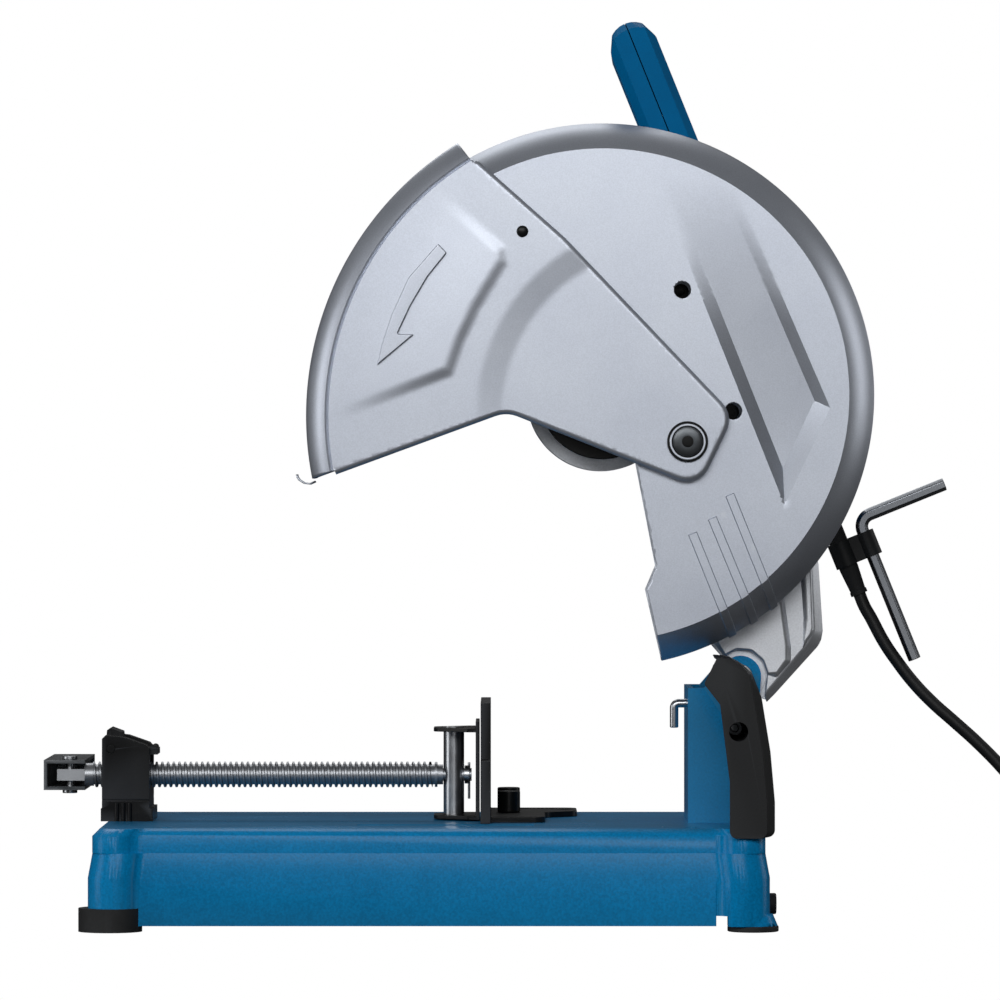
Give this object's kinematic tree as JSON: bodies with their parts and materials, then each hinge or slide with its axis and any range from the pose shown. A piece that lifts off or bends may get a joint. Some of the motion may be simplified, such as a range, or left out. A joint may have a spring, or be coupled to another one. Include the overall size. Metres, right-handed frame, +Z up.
{
  "type": "abrasive chop saw",
  "caption": "Bench chop saw with hinged motor arm, fixed and swinging wheel guards, leaning D handle, screw vise with swivel fence and a cast base.",
  "frame": {"origin": "on the floor under the middle of the base and of the bench bolt holes", "axes": "+X to the rear where the arm hinges, +Y from the guard side to the motor side, +Z up"},
  "size_m": [0.8635, 0.3143, 0.6278],
  "materials": {
    "blue_paint": "satin",
    "silver_paint": "satin",
    "casting": "satin",
    "black_plastic": "fine texture",
    "blue_plastic": "fine texture",
    "black_metal": "satin",
    "rubber": "matt",
    "steel": "machined",
    "copper": "wound",
    "carbon": "matt"
  },
  "bodies": {
    "base": {"base_pan": "blue_paint", "front_feet": "rubber", "rear_feet": "rubber", "rear_bumpers": "rubber", "hinge_bracket": "blue_paint", "base_bolts": "steel", "hinge_pin": "steel", "return_spring": "steel", "spark_hood": "black_plastic", "hood_screw": "steel", "nut_block": "black_metal", "fence_bolts": "black_metal", "lever_pin": "steel", "cord_lead": "rubber", "cord_coil": "rubber", "plug": "black_plastic"},
    "arm": {"gear_housing": "casting", "bearing_plate": "casting", "fixed_guard": "silver_paint", "guard_screws": "steel", "guard_pivot_bolt": "black_metal", "guard_spring": "steel", "motor_housing": "blue_plastic", "motor_end_cap": "black_plastic", "end_cap_screws": "steel", "field_core": "copper", "spindle_bearings": "steel", "motor_bearings": "steel", "brushes": "carbon", "brush_caps": "black_plastic", "handle_front_shell": "blue_plastic", "handle_rear_shell": "blue_plastic", "handle_screws": "steel", "switch_module": "black_plastic", "strain_relief": "rubber", "key_clip": "black_plastic"},
    "guard": {"moving_guard": "silver_paint", "moving_guard_screw": "black_metal"},
    "spindle": {"spindle": "steel", "drive_gear": "steel", "inner_flange": "steel", "outer_flange": "black_metal", "wheel_bolt": "steel"},
    "rotor": {"armature": "copper", "pinion": "steel", "fan": "black_plastic"},
    "trigger": {"trigger": "black_plastic"},
    "lock_off": {"lock_off_button": "black_plastic"},
    "spindle_lock": {"spindle_lock_button": "black_plastic"},
    "lock_pin": {"lock_pin": "steel"},
    "vise_slider": {"vise_pin": "steel"},
    "screw": {"vise_screw": "steel", "screw_retainer": "steel"},
    "crank": {"crank_arm": "steel", "crank_pin": "steel"},
    "jaw": {"jaw": "black_metal"},
    "fence": {"fence": "black_metal"},
    "release_lever": {"clamp_lever": "black_metal", "half_nut": "steel"},
    "hex_key": {"hex_key": "steel"}
  },
  "joints": [
    {"name": "arm_hinge", "type": "hinge", "parent": "base", "child": "arm", "pos_m": [0.2157, 0, 0.1719], "axis": [0, -1, 0], "range_deg": [0, 45], "stiffness_Nm_per_rad": 12, "springref_deg": -85.94, "deforming": ["return_spring"]},
    {"name": "guard_swing", "type": "hinge", "parent": "arm", "child": "guard", "pos_m": [0.1768, -0.1, 0.3339], "axis": [0, 1, 0], "range_deg": [0, 54], "deforming": ["guard_spring"]},
    {"name": "spindle_spin", "type": "hinge", "parent": "arm", "child": "spindle", "pos_m": [0.119, -0.07, 0.3661], "axis": [0, 1, 0], "continuous": true},
    {"name": "rotor_spin", "type": "hinge", "parent": "arm", "child": "rotor", "pos_m": [0.16447, 0.06, 0.39235], "axis": [0, 1, 0], "continuous": true},
    {"name": "trigger_pull", "type": "slide", "parent": "arm", "child": "trigger", "axis": [-0.3746, 0, 0.9272], "range_m": [0, 0.006], "stiffness_N_per_m": 800, "springref_m": -0.002},
    {"name": "lock_off_press", "type": "slide", "parent": "arm", "child": "lock_off", "axis": [0, -1, 0], "range_m": [0, 0.004], "stiffness_N_per_m": 500, "springref_m": -0.002},
    {"name": "spindle_lock_press", "type": "slide", "parent": "arm", "child": "spindle_lock", "axis": [0, -1, 0], "range_m": [0, 0.004], "stiffness_N_per_m": 500, "springref_m": -0.002},
    {"name": "lock_pin_slide", "type": "slide", "parent": "base", "child": "lock_pin", "axis": [1, 0, 0], "range_m": [0, 0.006]},
    {"name": "jaw_slide", "type": "slide", "parent": "base", "child": "vise_slider", "axis": [1, 0, 0], "range_m": [-0.185, 0]},
    {"name": "screw_spin", "type": "hinge", "parent": "vise_slider", "child": "screw", "pos_m": [0.0161, 0.012, 0.1014], "axis": [1, 0, 0], "range_deg": [-16640, 0]},
    {"name": "crank_fold", "type": "hinge", "parent": "screw", "child": "crank", "pos_m": [-0.2533, 0.012, 0.1014], "axis": [0, 0, 1], "range_deg": [0, 90]},
    {"name": "jaw_swivel", "type": "hinge", "parent": "vise_slider", "child": "jaw", "pos_m": [0.0161, 0.012, 0.1014], "axis": [0, 0, 1], "range_deg": [0, 45]},
    {"name": "fence_swivel", "type": "hinge", "parent": "base", "child": "fence", "pos_m": [0.0547, 0.032, 0.074], "axis": [0, 0, 1], "range_deg": [0, 45]},
    {"name": "release_lever_flip", "type": "hinge", "parent": "base", "child": "release_lever", "pos_m": [-0.2227, 0.012, 0.1204], "axis": [0, -1, 0], "range_deg": [0, 60]},
    {"name": "key_slide", "type": "slide", "parent": "arm", "child": "hex_key", "axis": [-0.3746, 0, 0.9272], "range_m": [0, 0.11]}
  ],
  "couplings": [
    {"joint": "guard_swing", "follows": "arm_hinge", "ratio": 1.2},
    {"joint": "rotor_spin", "follows": "spindle_spin", "ratio": -5},
    {"joint": "jaw_slide", "follows": "screw_spin", "m_per_rad": 0.00063662},
    {"joint": "jaw_swivel", "follows": "fence_swivel", "ratio": 1}
  ]
}
